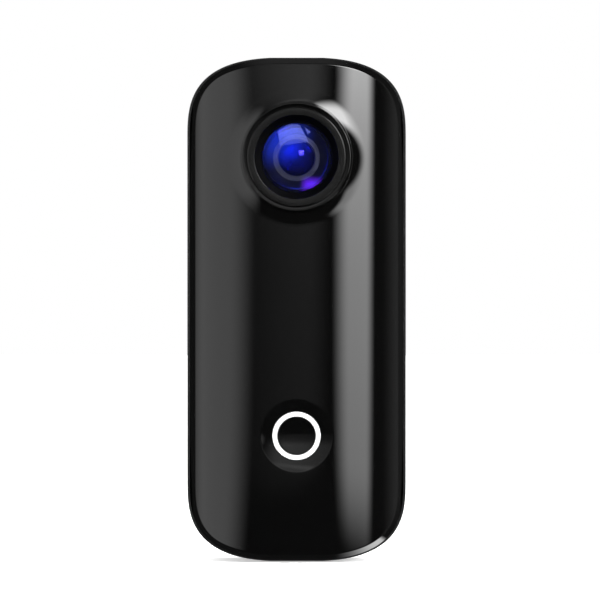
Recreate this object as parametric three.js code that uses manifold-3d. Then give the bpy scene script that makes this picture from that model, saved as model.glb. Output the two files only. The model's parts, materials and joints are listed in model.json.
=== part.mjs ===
// Thumb-size action camera, standing upright on its small flat foot.
// Millimetres, +Z up. The lens looks along -Y and +X is to the right of someone facing the lens.
// The origin is the middle of the foot, halfway between the lens bezel and the rear pad.
import * as THREE from "three";
import { mergeVertices } from "three/addons/utils/BufferGeometryUtils.js";
import Module from "manifold-3d";

const wasm = await Module();
wasm.setup();

// ---- Driving dimensions ----
const HEIGHT = 61;
const HALF_WIDTH = 13.24;
const HALF_DEPTH = 10.9;
const GAP = 0.1; // between pieces that sit in each other

// The outline seen from the front: straight sides, with superellipse caps at both ends.
const CAP_LENGTH = 9.8;
const CAP_POWER = 2.89;
const CAP_STEPS = 12; // points in a quarter of the outline

// Front cover: a panel crowned across its width and falling back a little at both ends, with a
// polished bevel round its edge.
const CROWN_RADIUS = 16;
const CROWN_Y = -8.9; // frontmost line of the panel
const END_SAG = 0.9; // how far the panel falls back at its two ends
const COVER_INSET = 0.3; // the cover is this much smaller than the shell all round
const BEVEL_WIDTH = 0.67;
const BEVEL_DEPTH = 1;
const PART_Y = -2; // where the cover meets the shell
const COVER_WALL = 1.5;

// Rear shell: a tub with a rounded back edge.
const SHELL_WALL = 1.8;
const SHELL_BACK_Y = 10.7;
const SHELL_FLOOR_Y = 8.3; // inner face of the back wall
const BACK_ROUND = 3;

// Lens and record button, both on the centreline.
const LENS_Z = 48.8;
const BUTTON_Z = 15.3;
const DISH_RADIUS = 4.37;
const DISH_DEPTH = 1.35;
const RING_OUTER = 2.98;
const RING_INNER = 2.33;
const RECORD_TRAVEL = 0.4;

// Boards, both facing forward and back.
const BOARD_FRONT_Y = -1;
const BOARD_BACK_Y = -0.2;
const BOARD_BOTTOM_Z = 10.4;
const BOARD_TOP_Z = 41.5;
const BOARD_HALF_WIDTH = 10.2;
const SOLDER_GAP = 0.05; // between a board and what is on it

// Port door on the left side, hinged on a vertical pin along its rear edge.
const DOOR_BOTTOM_Z = 9;
const DOOR_TOP_Z = 34.6;
const DOOR_FRONT_Y = -1.2;
const DOOR_THICKNESS = 1.24;
const DOOR_GAP = 0.15;
const HINGE_X = -HALF_WIDTH + DOOR_THICKNESS / 2;
const HINGE_Y = 6.3;
const PIN_RADIUS = 0.3;

// Ports behind the door.
const USB = { front: -0.15, back: 3.1, bottom: 11.2, top: 20.2, mouth: -10.9, end: -3.6 };
const CARD = { front: 0.27, back: 1.07, bottom: 21.9, top: 32.9, outer: -9.5, length: 15 };

// Mode button on the right side.
const MODE = { y: 1.7, z: 30, halfDepth: 1.65, halfHeight: 4.35, face: HALF_WIDTH - 0.1 };

// Screws: x, z of each, on the back of the shell and on the back of the main board.
const SHELL_SCREWS = [[-6.2, 7.8], [6.2, 7.8], [-7.9, 54.4], [7.9, 54.4]];
const BOARD_SCREWS = [[-8.4, 38.9], [8.4, 38.9], [8.4, 12.6]];
const SCREW_SEAT_Y = 1.2; // floor of each case screw's well
const MAGNET_Z = [16, 45];

// ---- Solids ----

// A closed three.js geometry as a manifold solid, with its faces turned outwards.
function solidOf(geometry) {
  const bare = geometry.clone();
  bare.deleteAttribute("normal");
  bare.deleteAttribute("uv");
  const merged = mergeVertices(bare, 1e-4);
  const index = merged.index.array;
  const place = merged.attributes.position;
  const corner = [0, 1, 2].map(() => new THREE.Vector3());
  const triangles = [];
  let volume = 0;
  for (let i = 0; i < index.length; i += 3) {
    const [a, b, c] = [index[i], index[i + 1], index[i + 2]];
    if (a === b || b === c || c === a) continue;
    triangles.push([a, b, c]);
    [a, b, c].forEach((vertex, k) => corner[k].fromBufferAttribute(place, vertex));
    volume += corner[0].dot(corner[1].cross(corner[2]));
  }
  if (volume < 0) triangles.forEach((triangle) => triangle.reverse());
  return new wasm.Manifold(new wasm.Mesh({
    numProp: 3,
    vertProperties: Float32Array.from(place.array),
    triVerts: Uint32Array.from(triangles.flat()),
  }));
}

function geometryOf(solid) {
  const mesh = solid.getMesh();
  const geometry = new THREE.BufferGeometry();
  geometry.setAttribute("position", new THREE.BufferAttribute(mesh.vertProperties, 3));
  geometry.setIndex(new THREE.BufferAttribute(mesh.triVerts, 1));
  return geometry;
}

function join(...pieces) {
  return geometryOf(pieces.map(solidOf).reduce((all, next) => all.add(next)));
}

function cut(base, ...tools) {
  return geometryOf([base, ...tools].map(solidOf).reduce((left, tool) => left.subtract(tool)));
}

function overlap(one, other) {
  return geometryOf(solidOf(one).intersect(solidOf(other)));
}

// A box between its lowest and highest corners.
function block([x0, y0, z0], [x1, y1, z1]) {
  const box = new THREE.BoxGeometry(x1 - x0, y1 - y0, z1 - z0);
  return box.translate((x0 + x1) / 2, (y0 + y1) / 2, (z0 + z1) / 2);
}

// A solid turned about the Y axis from [radius, y] corners.
// A profile that leaves the axis is closed back to its first corner.
function turned(profile, segments = 24) {
  const corners = profile.map(([radius, y]) => new THREE.Vector2(radius, y));
  if (profile[0][0] > 0) corners.push(corners[0].clone());
  return new THREE.LatheGeometry(corners, segments);
}

function disc(radius, y0, y1, segments = 20) {
  return turned([[0, y0], [radius, y0], [radius, y1], [0, y1]], segments);
}

function ring(inner, outer, y0, y1, segments = 24) {
  return turned([[inner, y0], [outer, y0], [outer, y1], [inner, y1]], segments);
}

// A round pin along Z.
function pinZ(radius, z0, z1, x, y, segments = 12) {
  return disc(radius, z0, z1, segments).rotateX(Math.PI / 2).translate(x, y, 0);
}

// A round hole or pin along X.
function pinX(radius, x0, x1, y, z, segments = 8) {
  return disc(radius, -x1, -x0, segments).rotateZ(Math.PI / 2).translate(0, y, z);
}

// A plate facing X with rounded corners, from [y, z] to [y, z].
function plateX(x0, x1, [y0, z0], [y1, z1], radius) {
  const shape = new THREE.Shape();
  shape.moveTo(-z0 - radius, y0);
  shape.absarc(-z0 - radius, y0 + radius, radius, -Math.PI / 2, 0);
  shape.absarc(-z0 - radius, y1 - radius, radius, 0, Math.PI / 2);
  shape.absarc(-z1 + radius, y1 - radius, radius, Math.PI / 2, Math.PI);
  shape.absarc(-z1 + radius, y0 + radius, radius, Math.PI, Math.PI * 1.5);
  const plate = new THREE.ExtrudeGeometry(shape, { depth: x1 - x0, bevelEnabled: false, curveSegments: 4 });
  return plate.rotateY(Math.PI / 2).translate(x0, 0, 0);
}

// A flat ribbon bent along points, wide along X.
function ribbon(points, x, width, thickness) {
  const path = new THREE.CatmullRomCurve3(points.map(([y, z]) => new THREE.Vector3(x, y, z)));
  const section = new THREE.Shape();
  section.moveTo(-width / 2, -thickness / 2);
  section.lineTo(width / 2, -thickness / 2);
  section.lineTo(width / 2, thickness / 2);
  section.lineTo(-width / 2, thickness / 2);
  return new THREE.ExtrudeGeometry(section, { steps: 10, bevelEnabled: false, extrudePath: path });
}

// A closed skin through rings of points, with each end closed by a fan to its middle.
function skin(rings) {
  const count = rings[0].length;
  const points = rings.flat();
  const index = [];
  for (let r = 0; r + 1 < rings.length; r += 1) {
    for (let i = 0; i < count; i += 1) {
      const a = r * count + i;
      const b = r * count + ((i + 1) % count);
      index.push(a, b, b + count, a, b + count, a + count);
    }
  }
  [0, rings.length - 1].forEach((end) => {
    const middle = new THREE.Vector3();
    rings[end].forEach((point) => middle.addScaledVector(point, 1 / count));
    points.push(middle);
    for (let i = 0; i < count; i += 1) {
      const a = end * count + i;
      const b = end * count + ((i + 1) % count);
      index.push(...(end === 0 ? [b, a] : [a, b]), points.length - 1);
    }
  });
  return new THREE.BufferGeometry().setFromPoints(points).setIndex(index);
}

// ---- The body's outline and crown ----

// One corner of the outline, moved inwards along its normal by inset.
function capPoint(step, inset) {
  const angle = ((Math.PI / 2) * step) / CAP_STEPS;
  const x = HALF_WIDTH * Math.cos(angle) ** (2 / CAP_POWER);
  const rise = CAP_LENGTH * Math.sin(angle) ** (2 / CAP_POWER);
  const normal = new THREE.Vector2(
    x ** (CAP_POWER - 1) / HALF_WIDTH ** CAP_POWER,
    rise ** (CAP_POWER - 1) / CAP_LENGTH ** CAP_POWER,
  ).normalize();
  return [x - inset * normal.x, rise - inset * normal.y];
}

// The outline as [x, z] points. The last step of each quarter ends a short flat, which at the
// bottom is the foot.
function outline(inset) {
  const quarter = Array.from({ length: CAP_STEPS }, (_, step) => capPoint(step, inset));
  const reach = capPoint(CAP_STEPS - 1, 0)[1];
  const back = [...quarter].reverse();
  const top = HEIGHT - reach;
  return [
    ...quarter.map(([x, rise]) => [x, top + rise]),
    ...back.map(([x, rise]) => [-x, top + rise]),
    ...quarter.map(([x, rise]) => [-x, reach - rise]),
    ...back.map(([x, rise]) => [x, reach - rise]),
  ];
}

function crownY(x, z) {
  const across = CROWN_RADIUS - Math.sqrt(CROWN_RADIUS ** 2 - x ** 2);
  const along = END_SAG * Math.abs(z / (HEIGHT / 2) - 1) ** 3;
  return CROWN_Y + across + along;
}

// The outline as a flat ring at one y.
function flatRing(inset, y) {
  return outline(inset).map(([x, z]) => new THREE.Vector3(x, y, z));
}

// A solid with the camera's outline, a flat back at backY and a crowned, bevelled front.
// The scales are the rings of the crown, from the bevel towards the middle.
function crownedForm(inset, sink, backY, scales = [1, 0.55, 0.15]) {
  const edge = outline(inset + BEVEL_WIDTH);
  const spine = [HEIGHT * 0.3, HEIGHT * 0.7];
  const wallTop = outline(inset).map(([x, z], i) => (
    new THREE.Vector3(x, crownY(...edge[i]) + sink + BEVEL_DEPTH, z)
  ));
  const panel = scales.map((scale) => edge.map(([x, z]) => {
    const middle = THREE.MathUtils.clamp(z, ...spine);
    const height = middle + (z - middle) * scale;
    return new THREE.Vector3(x * scale, crownY(x * scale, height) + sink, height);
  }));
  return skin([flatRing(inset, backY), wallTop, ...panel]);
}

// The rear shell's outer form: straight sides, a rounded edge and a flat back.
function shellForm() {
  const rounding = [0, 0.25, 0.5, 0.75, 1].map((share) => {
    const angle = (share * Math.PI) / 2;
    return flatRing(
      BACK_ROUND * (1 - Math.cos(angle)),
      SHELL_BACK_Y - BACK_ROUND * (1 - Math.sin(angle)),
    );
  });
  return skin([flatRing(0, PART_Y), ...rounding]);
}

// ---- Case ----

const FINE_CROWN = [1, 0.85, 0.6, 0.35, 0.15];

const coverForm = () => crownedForm(COVER_INSET, 0, PART_Y, FINE_CROWN);

// How far the dish round the record button is below the crown at a radius.
function dishSink(radius) {
  return DISH_DEPTH * (1 - (radius / DISH_RADIUS) ** 2);
}

// A round solid along Y whose front follows the crown and the dish.
// Its radii are the outer edge and any steps inwards.
function dishedDisc(radii, backY) {
  const circle = (radius, yOf) => Array.from({ length: 24 }, (_, i) => {
    const angle = (i / 24) * Math.PI * 2;
    const x = radius * Math.cos(angle);
    const z = BUTTON_Z + radius * Math.sin(angle);
    return new THREE.Vector3(x, yOf(x, z), z);
  });
  const front = radii.map((radius) => circle(radius, (x, z) => crownY(x, z) + dishSink(radius)));
  return skin([circle(radii[0], () => backY), ...front]);
}

function frontCover() {
  const form = coverForm();
  const boss = turned([
    [0, -10.55], [6.25, -10.55], [6.5, -10.3], [6.6, -9.2], [6.9, -8.3],
    [7.6, -7.6], [8.6, -7.1], [8.6, -6.8], [0, -6.8],
  ], 32).translate(0, 0, LENS_Z);
  const hollow = crownedForm(COVER_INSET + 1.7, COVER_WALL, PART_Y + 1);
  const collar = ring(4.7, 5.5, -7.3, -5).translate(0, 0, BUTTON_Z);
  const posts = [
    ...SHELL_SCREWS.map(([x, z]) => disc(1.6, -8.6, 0.3, 12).translate(x, 0, z)),
    ...BOARD_SCREWS.map(([x, z]) => disc(1.5, -7, BOARD_FRONT_Y - GAP, 12).translate(x, 0, z)),
  ];
  const room = crownedForm(COVER_INSET + 0.5, 0.5, 1);
  const shell = join(cut(form, hollow), boss);
  const inner = overlap(join(collar, ...posts), room);
  const dish = cut(disc(DISH_RADIUS, -12, -6, 24).translate(0, 0, BUTTON_Z),
    dishedDisc([DISH_RADIUS, 3.2, 2], -5));
  return cut(
    join(shell, inner),
    disc(6, -12, -8.4, 32).translate(0, 0, LENS_Z),
    disc(5.1, -12, -6, 32).translate(0, 0, LENS_Z),
    dish,
    disc(RING_OUTER + 0.12, -12, -7.1, 24).translate(0, 0, BUTTON_Z),
    disc(3.9, -7.2, -4, 24).translate(0, 0, BUTTON_Z),
    gasketGroove(),
    ...SHELL_SCREWS.map(([x, z]) => disc(0.68, -4.2, 1, 8).translate(x, 0, z)),
    ...BOARD_SCREWS.map(([x, z]) => disc(0.58, -3.9, 0, 8).translate(x, 0, z)),
  );
}

// A frame following the outline between two insets.
function outlineFrame(outer, inner, y0, y1) {
  return cut(
    skin([flatRing(outer, y0), flatRing(outer, y1)]),
    skin([flatRing(inner, y0 - 1), flatRing(inner, y1 + 1)]),
  );
}

const gasketGroove = () => outlineFrame(0.8, 1.45, PART_Y - 0.4, PART_Y + 0.4);
const coverGasket = () => outlineFrame(0.85, 1.4, PART_Y - 0.35, PART_Y + 0.35);

function rearShell() {
  const hollow = skin([
    flatRing(SHELL_WALL, PART_Y - 1),
    flatRing(SHELL_WALL, SHELL_BACK_Y - BACK_ROUND - 0.5),
    flatRing(SHELL_WALL + 1.2, SHELL_FLOOR_Y),
  ]);
  const portFrame = block([-12.2, PART_Y + 0.6, 8.3], [-10.95, 7.6, 35.4]);
  const columns = SHELL_SCREWS.map(([x, z]) => disc(2.1, 0.4, SHELL_FLOOR_Y + 0.2, 12).translate(x, 0, z));
  const wells = SHELL_SCREWS.flatMap(([x, z]) => [
    disc(1.4, SCREW_SEAT_Y, 11, 12).translate(x, 0, z),
    disc(0.8, 0, 2, 8).translate(x, 0, z),
  ]);
  const magnetPockets = MAGNET_Z.map((z) => disc(4.6, 8.95, 11, 20).translate(0, 0, z));
  const padRecess = skin([flatRing(3.5, 10.25), flatRing(3.5, 12)]);
  const buzzerHoles = [40, 42, 44].map((z) => pinX(0.35, 10, 14, 5, z, 8));
  return cut(
    overlap(join(cut(shellForm(), hollow), portFrame, ...columns), shellForm()),
    gasketGroove(),
    ...doorPocket(),
    ...wells,
    ...magnetPockets,
    padRecess,
    plateX(10, 14, [MODE.y - 1.8, MODE.z - 4.5], [MODE.y + 1.8, MODE.z + 4.5], 1.7),
    pinZ(0.4, 58, 62, 0, 4, 8),
    ...buzzerHoles,
  );
}

// Room in the shell's left wall for the door, its seal, its pin and the two ports.
function doorPocket() {
  const x0 = -HALF_WIDTH - 1;
  const floor = -HALF_WIDTH + DOOR_THICKNESS + DOOR_GAP;
  const bottom = DOOR_BOTTOM_Z - DOOR_GAP;
  const top = DOOR_TOP_Z + DOOR_GAP;
  return [
    block([x0, DOOR_FRONT_Y - DOOR_GAP, bottom], [floor, HINGE_Y, top]),
    pinZ(1, bottom, top, HINGE_X, HINGE_Y, 16),
    pinZ(PIN_RADIUS + 0.04, DOOR_BOTTOM_Z - 1.1, DOOR_TOP_Z + 1.1, HINGE_X, HINGE_Y),
    cut(
      block([floor - 0.5, -1.15, 9.25], [-11.35, 4.55, 34.35]),
      block([floor - 1, -0.25, 10.25], [-11, 3.65, 33.35]),
    ),
    block([floor - 1, USB.front - 0.1, USB.bottom - 0.1], [-10, USB.back + 0.1, USB.top + 0.1]),
    block([floor - 1, CARD.front - 0.17, CARD.bottom - 0.2], [-10, CARD.back + 0.33, CARD.top + 0.2]),
  ];
}

function rearPad() {
  return skin([flatRing(3.6, 10.3), flatRing(3.6, HALF_DEPTH - 0.15), flatRing(3.75, HALF_DEPTH)]);
}

function portDoor() {
  const inner = -HALF_WIDTH + DOOR_THICKNESS;
  const plate = join(
    plateX(-HALF_WIDTH, inner, [DOOR_FRONT_Y, DOOR_BOTTOM_Z], [5, DOOR_TOP_Z], 0.9),
    block([-HALF_WIDTH, 3, DOOR_BOTTOM_Z], [inner, HINGE_Y, DOOR_TOP_Z]),
    pinZ(DOOR_THICKNESS / 2, DOOR_BOTTOM_Z, DOOR_TOP_Z, HINGE_X, HINGE_Y),
  );
  return cut(
    overlap(plate, skin([flatRing(0, -3), flatRing(0, 8)])),
    pinZ(PIN_RADIUS + 0.06, 0, HEIGHT, HINGE_X, HINGE_Y),
    plateX(-14, -12.85, [-0.7, 18.3], [0.2, 25.3], 0.44),
  );
}

function doorSeal() {
  const x0 = -HALF_WIDTH + DOOR_THICKNESS + 0.02;
  return cut(
    plateX(x0, -11.42, [-1, 9.4], [4.4, 34.2], 0.6),
    plateX(x0 - 1, -11, [-0.4, 10.1], [3.8, 33.5], 0.3),
  );
}

// ---- Lens, built about its own axis ----

function lensBezel() {
  return turned([[5.05, -10.9], [5.8, -10.9], [5.94, -10.76], [5.94, -8.45], [5.05, -8.45]], 32);
}

function lensHood() {
  return turned([[5, -10.5], [5, -8.5], [4.35, -8.5], [4.35, -9.3]], 32);
}

// A glass with a domed front, and a back that is hollowed out where hollow is more than 0.
function glass(radius, frontY, dome, edgeY, backY, hollow) {
  const steps = [0, 0.4, 0.75, 1];
  const front = steps.map((share) => [radius * share, frontY + dome * share ** 2]);
  const back = steps.slice(1).reverse().map((share) => (
    [radius * 0.9 * share, backY - hollow * (1 - share ** 2)]
  ));
  return turned([...front, [radius, edgeY], ...back, [0, backY - hollow]], 24);
}

function lensBarrel() {
  return turned([
    [4.3, -8.4], [4.9, -8.4], [4.9, -6.95], [4.4, -6.95], [4.4, -0.6], [2.6, -0.6],
    [2.6, -4.95], [3.9, -4.95], [3.9, -7.95], [4.3, -7.95],
  ]);
}

// The black funnel in front of the second glass, with a flat face round it.
function lensSpacer() {
  return turned([[3.85, -7.9], [3.85, -5], [2.23, -5], [2.23, -6.3], [2.84, -6.3], [3.6, -7.9]]);
}

function lensORing() {
  const radius = 0.4;
  const circle = Array.from({ length: 6 }, (_, i) => {
    const angle = (i / 6) * Math.PI * 2;
    return [4.86 + radius * Math.cos(angle), -6.05 + radius * Math.sin(angle)];
  });
  return turned(circle, 20);
}

function lensHolder() {
  const half = 5.5;
  return cut(
    block([-half, -5.6, -half], [half, 1.15, half]),
    disc(4.48, -7, -0.05, 24),
    block([-2.2, -1, -1.8], [2.2, 2, 1.8]),
    block([-3.7, 0.3, -3.2], [3.7, 2, 3.2]),
  );
}

// ---- Electronics ----

function mainBoard() {
  const board = block(
    [-BOARD_HALF_WIDTH, BOARD_FRONT_Y, BOARD_BOTTOM_Z],
    [BOARD_HALF_WIDTH, BOARD_BACK_Y, BOARD_TOP_Z],
  );
  return cut(board, ...BOARD_SCREWS.map(([x, z]) => disc(0.7, -2, 1, 12).translate(x, 0, z)));
}

function shieldCan() {
  const back = BOARD_FRONT_Y - SOLDER_GAP;
  return cut(
    block([-7.2, -3.2, 21.5], [7.2, back, 35.5]),
    block([-7, -3, 21.7], [7, back + 1, 35.3]),
  );
}

function cardSocket() {
  const front = BOARD_BACK_Y + SOLDER_GAP;
  return cut(
    block([-9.3, front, CARD.bottom - 0.6], [7.2, 1.55, CARD.top + 0.6]),
    block([-10, CARD.front - 0.1, CARD.bottom - 0.1], [6.6, CARD.back + 0.1, CARD.top + 0.1]),
    plateX(1, 3, [1.2, 25], [3, 30], 0.2).translate(2, 0, 0),
  );
}

function memoryCard() {
  const { front, back, bottom, top, outer, length } = CARD;
  const body = block([outer, front, bottom], [outer + length, back, top]);
  const corner = block([outer + 9, front - 1, top - 1.2], [outer + length + 1, back + 1, top + 1]);
  const nailRidge = block([outer + 0.25, back - 0.15, bottom - 1], [outer + 0.9, back + 1, top + 1]);
  return cut(body, corner, nailRidge);
}

function usbPort() {
  const { front, back, bottom, top, mouth, end } = USB;
  const y = (front + back) / 2;
  return join(
    cut(
      plateX(mouth, end, [front, bottom], [back, top], 1.4),
      plateX(mouth - 1, end - 1.2, [front + 0.3, bottom + 0.3], [back - 0.3, top - 0.3], 1.1),
    ),
    block([mouth + 0.9, y - 0.35, bottom + 1.2], [end - 1, y + 0.35, top - 1.2]),
  );
}

function battery() {
  const pouch = new THREE.Shape();
  pouch.moveTo(-9.2, 21.4);
  pouch.lineTo(9.2, 21.4);
  pouch.lineTo(9.2, 40.8);
  pouch.lineTo(-9.2, 40.8);
  const options = { depth: 4.8, bevelThickness: 0.4, bevelSize: 0.4, bevelSegments: 2 };
  return new THREE.ExtrudeGeometry(pouch, options).rotateX(Math.PI / 2).translate(0, 7.2, 0);
}

function tactSwitch() {
  const back = BOARD_FRONT_Y - SOLDER_GAP;
  return join(
    block([-2, -2.5, BUTTON_Z - 2], [2, back, BUTTON_Z + 2]),
    disc(0.9, -3, -2, 12).translate(0, 0, BUTTON_Z),
  );
}

function modeSwitch() {
  const front = BOARD_BACK_Y + SOLDER_GAP;
  return join(
    block([7.6, front, MODE.z - 2], [9.7, 1.65, MODE.z + 2]),
    block([9.5, 0.3, MODE.z - 0.8], [10, 1.2, MODE.z + 0.8]),
  );
}

// ---- Controls ----

function recordButton() {
  const cap = dishedDisc([RING_INNER - 0.06, 1.2], -6.2);
  const stem = disc(1, -6.3, -3.05 - RECORD_TRAVEL, 12).translate(0, 0, BUTTON_Z);
  return join(cap, stem);
}

function lightRing() {
  const guide = join(
    dishedDisc([RING_OUTER, RING_INNER - 0.1], -6.5),
    disc(3.7, -6.75, -6.2, 24).translate(0, 0, BUTTON_Z),
  );
  return cut(guide, disc(RING_INNER, -12, 0, 24).translate(0, 0, BUTTON_Z));
}

function modeButton() {
  const { y, z, halfDepth, halfHeight, face } = MODE;
  return join(
    plateX(11.2, face, [y - halfDepth, z - halfHeight], [y + halfDepth, z + halfHeight], 1.6),
    plateX(10.85, 11.35, [y - 2.2, z - 5], [y + 2.2, z + 5], 1),
    block([10.4, 0.3, z - 1], [11, 1.4, z + 1]),
  );
}

// A case or board screw pointing along -Y, with a cross slot in its head.
function screw(headRadius, headHeight, shankRadius, shankLength) {
  const body = turned([
    [0, headHeight], [headRadius, headHeight * 0.8], [headRadius, 0], [shankRadius, 0],
    [shankRadius, -shankLength + 0.4], [0, -shankLength],
  ], 10);
  const slot = headRadius * 0.6;
  return cut(
    body,
    block([-slot, headHeight * 0.45, -0.12], [slot, headHeight + 1, 0.12]),
    block([-0.12, headHeight * 0.45, -slot], [0.12, headHeight + 1, slot]),
  );
}

// ---- Materials ----

function finish(colour, roughness, metalness = 0) {
  return new THREE.MeshStandardMaterial({ color: colour, roughness, metalness });
}

const glossBlack = finish(0x0c0c0e, 0.08);
const satinBlack = finish(0x161617, 0.4);
const softBlack = finish(0x141414, 0.8);
const darkMetal = finish(0x1c1c1e, 0.3, 0.8);
const steel = finish(0xa8a8aa, 0.35, 1);
const coatedGlass = finish(0x101880, 0.03);
const clearGlass = finish(0x9fb4c8, 0.05);
const lightGuide = finish(0xf6f6f6, 0.4);
const circuitGreen = finish(0x0f4d2a, 0.5);
const chipBlack = finish(0x1b1b1d, 0.5);
const gold = finish(0xc79a3a, 0.35, 1);
const pouchSilver = finish(0xb9bcc0, 0.45, 0.6);
const flexAmber = finish(0xa5641c, 0.5);
const foamGrey = finish(0x3a3a3a, 0.95);
const magnetNickel = finish(0xc8c8cc, 0.25, 1);

// ---- Assembly ----

const camera = new THREE.Group();
const lens = new THREE.Group();
lens.position.z = LENS_Z;
camera.add(lens);

function piece(name, geometry, material, [x, y, z] = [0, 0, 0], parent = camera) {
  const mesh = new THREE.Mesh(geometryOf(solidOf(geometry)), material);
  mesh.name = name;
  mesh.position.set(x, y, z);
  parent.add(mesh);
}

piece("front_cover", frontCover(), glossBlack);
piece("rear_shell", rearShell(), satinBlack);
piece("cover_gasket", coverGasket(), softBlack);
piece("rear_pad", rearPad(), softBlack);
SHELL_SCREWS.forEach(([x, z], i) => {
  piece(`shell_screw_${i + 1}`, screw(1.2, 0.8, 0.62, 4.8), steel, [x, SCREW_SEAT_Y + 0.02, z]);
});
["lower", "upper"].forEach((name, i) => {
  piece(`magnet_${name}`, disc(4.5, 9, 10.2), magnetNickel, [0, 0, MAGNET_Z[i]]);
});

const onLens = [0, 0, 0];
piece("lens_bezel", lensBezel(), darkMetal, onLens, lens);
piece("lens_hood", lensHood(), softBlack, onLens, lens);
piece("front_lens", glass(4.25, -9.75, 0.95, -8.3, -8.02, 0.9), coatedGlass, onLens, lens);
piece("lens_spacer", lensSpacer(), satinBlack, onLens, lens);
piece("second_lens", glass(2.18, -6.85, 0.5, -5.7, -5.5, 0.1), coatedGlass, onLens, lens);
piece("aperture_ring", ring(0.92, 2.55, -4.9, -4.65), satinBlack, onLens, lens);
piece("rear_lens", glass(2.5, -4.5, 0.5, -3, -2.7, 0.1), clearGlass, onLens, lens);
piece("lens_barrel", lensBarrel(), darkMetal, onLens, lens);
piece("lens_o_ring", lensORing(), softBlack, onLens, lens);
piece("lens_holder", lensHolder(), satinBlack, onLens, lens);
piece("ir_filter", block([-2.9, -0.33, -2.4], [2.9, -0.03, 2.4]), clearGlass, [0, -0.04, 0], lens);
piece("image_sensor", block([-3.2, 0.4, -2.7], [3.2, 1.15, 2.7]), chipBlack, onLens, lens);
piece("sensor_board", block([-5.6, 1.2, -5.6], [5.6, 2, 5.6]), circuitGreen, onLens, lens);
piece("microphone", block([-1.7, 2.05, 3.2], [1.7, 3.1, 5.4]), steel, onLens, lens);
piece("buzzer", disc(4.2, 5.4, 8.1), chipBlack, onLens, lens);
piece("sensor_flex", ribbon([[2.25, 46], [2.25, 43.4], [1.2, 42.2], [0.1, 41], [0, 38]], 0, 5, 0.2), flexAmber);

piece("main_board", mainBoard(), circuitGreen);
BOARD_SCREWS.forEach(([x, z], i) => {
  piece(`board_screw_${i + 1}`, screw(1.1, 0.6, 0.5, 3.2), steel, [x, BOARD_BACK_Y + 0.02, z]);
});
piece("shield_can", shieldCan(), steel);
piece("processor", block([-5.4, -2, 23], [5.4, BOARD_FRONT_Y - SOLDER_GAP, 33.8]), chipBlack);
piece("flash_chip", block([-5.5, -2, 36.2], [5.5, BOARD_FRONT_Y - SOLDER_GAP, 40.8]), chipBlack);
piece("card_socket", cardSocket(), steel);
piece("memory_card", memoryCard(), chipBlack);
piece("usb_port", usbPort(), steel);
piece("battery", battery(), pouchSilver);
piece("battery_foam", block([-8, 7.7, 22.5], [8, 8.2, 40]), foamGrey);
piece("battery_lead", ribbon([[4, 41.4], [3.4, 42.2], [1.6, 42.2], [0.4, 41.2], [0.1, 38]], 4.8, 2.4, 0.3), softBlack);
piece("wifi_antenna", block([10.95, -1, 37], [11.2, 3.8, 51]), gold);

piece("record_button", recordButton(), glossBlack);
piece("light_ring", lightRing(), lightGuide);
piece("button_seal", ring(1.1, 4.6, -5.75, -5.3), softBlack, [0, 0, BUTTON_Z]);
piece("record_switch", tactSwitch(), steel);
["left", "right"].forEach((side, i) => {
  const x = i === 0 ? -3 : 3;
  const face = BOARD_FRONT_Y - SOLDER_GAP;
  piece(`led_${side}`, block([-0.5, face - 0.6, -0.9], [0.5, face, 0.9]), lightGuide, [x, 0, BUTTON_Z]);
});
piece("mode_button", modeButton(), satinBlack);
piece("mode_switch", modeSwitch(), steel);

piece("port_door", portDoor(), satinBlack);
piece("door_pin", pinZ(PIN_RADIUS, DOOR_BOTTOM_Z - 1, DOOR_TOP_Z + 1, HINGE_X, HINGE_Y), steel);
piece("door_seal", doorSeal(), softBlack);
piece("mic_mesh", pinZ(0.9, 58.85, 59.05, 0, 4), softBlack);
piece("buzzer_mesh", block([11.2, 4.3, 39], [11.4, 5.7, 45]), softBlack);

export default camera;
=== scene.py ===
"""Looks of a thumb-size action camera: gloss front cover, satin shell, coated lens and light ring."""

import json
import math

import bmesh
import bpy
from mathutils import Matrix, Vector
from mathutils.geometry import delaunay_2d_cdt


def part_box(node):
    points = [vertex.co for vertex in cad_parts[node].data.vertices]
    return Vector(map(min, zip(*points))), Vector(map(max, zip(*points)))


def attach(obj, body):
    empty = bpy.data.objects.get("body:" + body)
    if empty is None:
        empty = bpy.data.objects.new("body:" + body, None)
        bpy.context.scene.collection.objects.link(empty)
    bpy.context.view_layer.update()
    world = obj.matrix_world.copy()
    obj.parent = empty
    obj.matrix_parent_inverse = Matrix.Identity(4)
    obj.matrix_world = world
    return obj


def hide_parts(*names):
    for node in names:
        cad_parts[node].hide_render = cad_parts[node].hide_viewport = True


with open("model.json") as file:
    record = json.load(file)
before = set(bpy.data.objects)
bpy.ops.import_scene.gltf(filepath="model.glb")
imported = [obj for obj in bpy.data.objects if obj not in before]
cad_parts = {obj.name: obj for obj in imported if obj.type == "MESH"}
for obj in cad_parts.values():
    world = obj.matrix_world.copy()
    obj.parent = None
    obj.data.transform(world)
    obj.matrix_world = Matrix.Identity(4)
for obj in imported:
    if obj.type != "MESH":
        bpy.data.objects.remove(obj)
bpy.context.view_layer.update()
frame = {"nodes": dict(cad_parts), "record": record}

MM = 0.001


def box_mm(node):
    """The lowest and highest corner of a CAD node, in millimetres."""
    low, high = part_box(node)
    return low / MM, high / MM


def middle(node):
    low, high = box_mm(node)
    return (low + high) / 2


# ---- Driving dimensions, in millimetres, from the frame where it holds them ----

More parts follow.
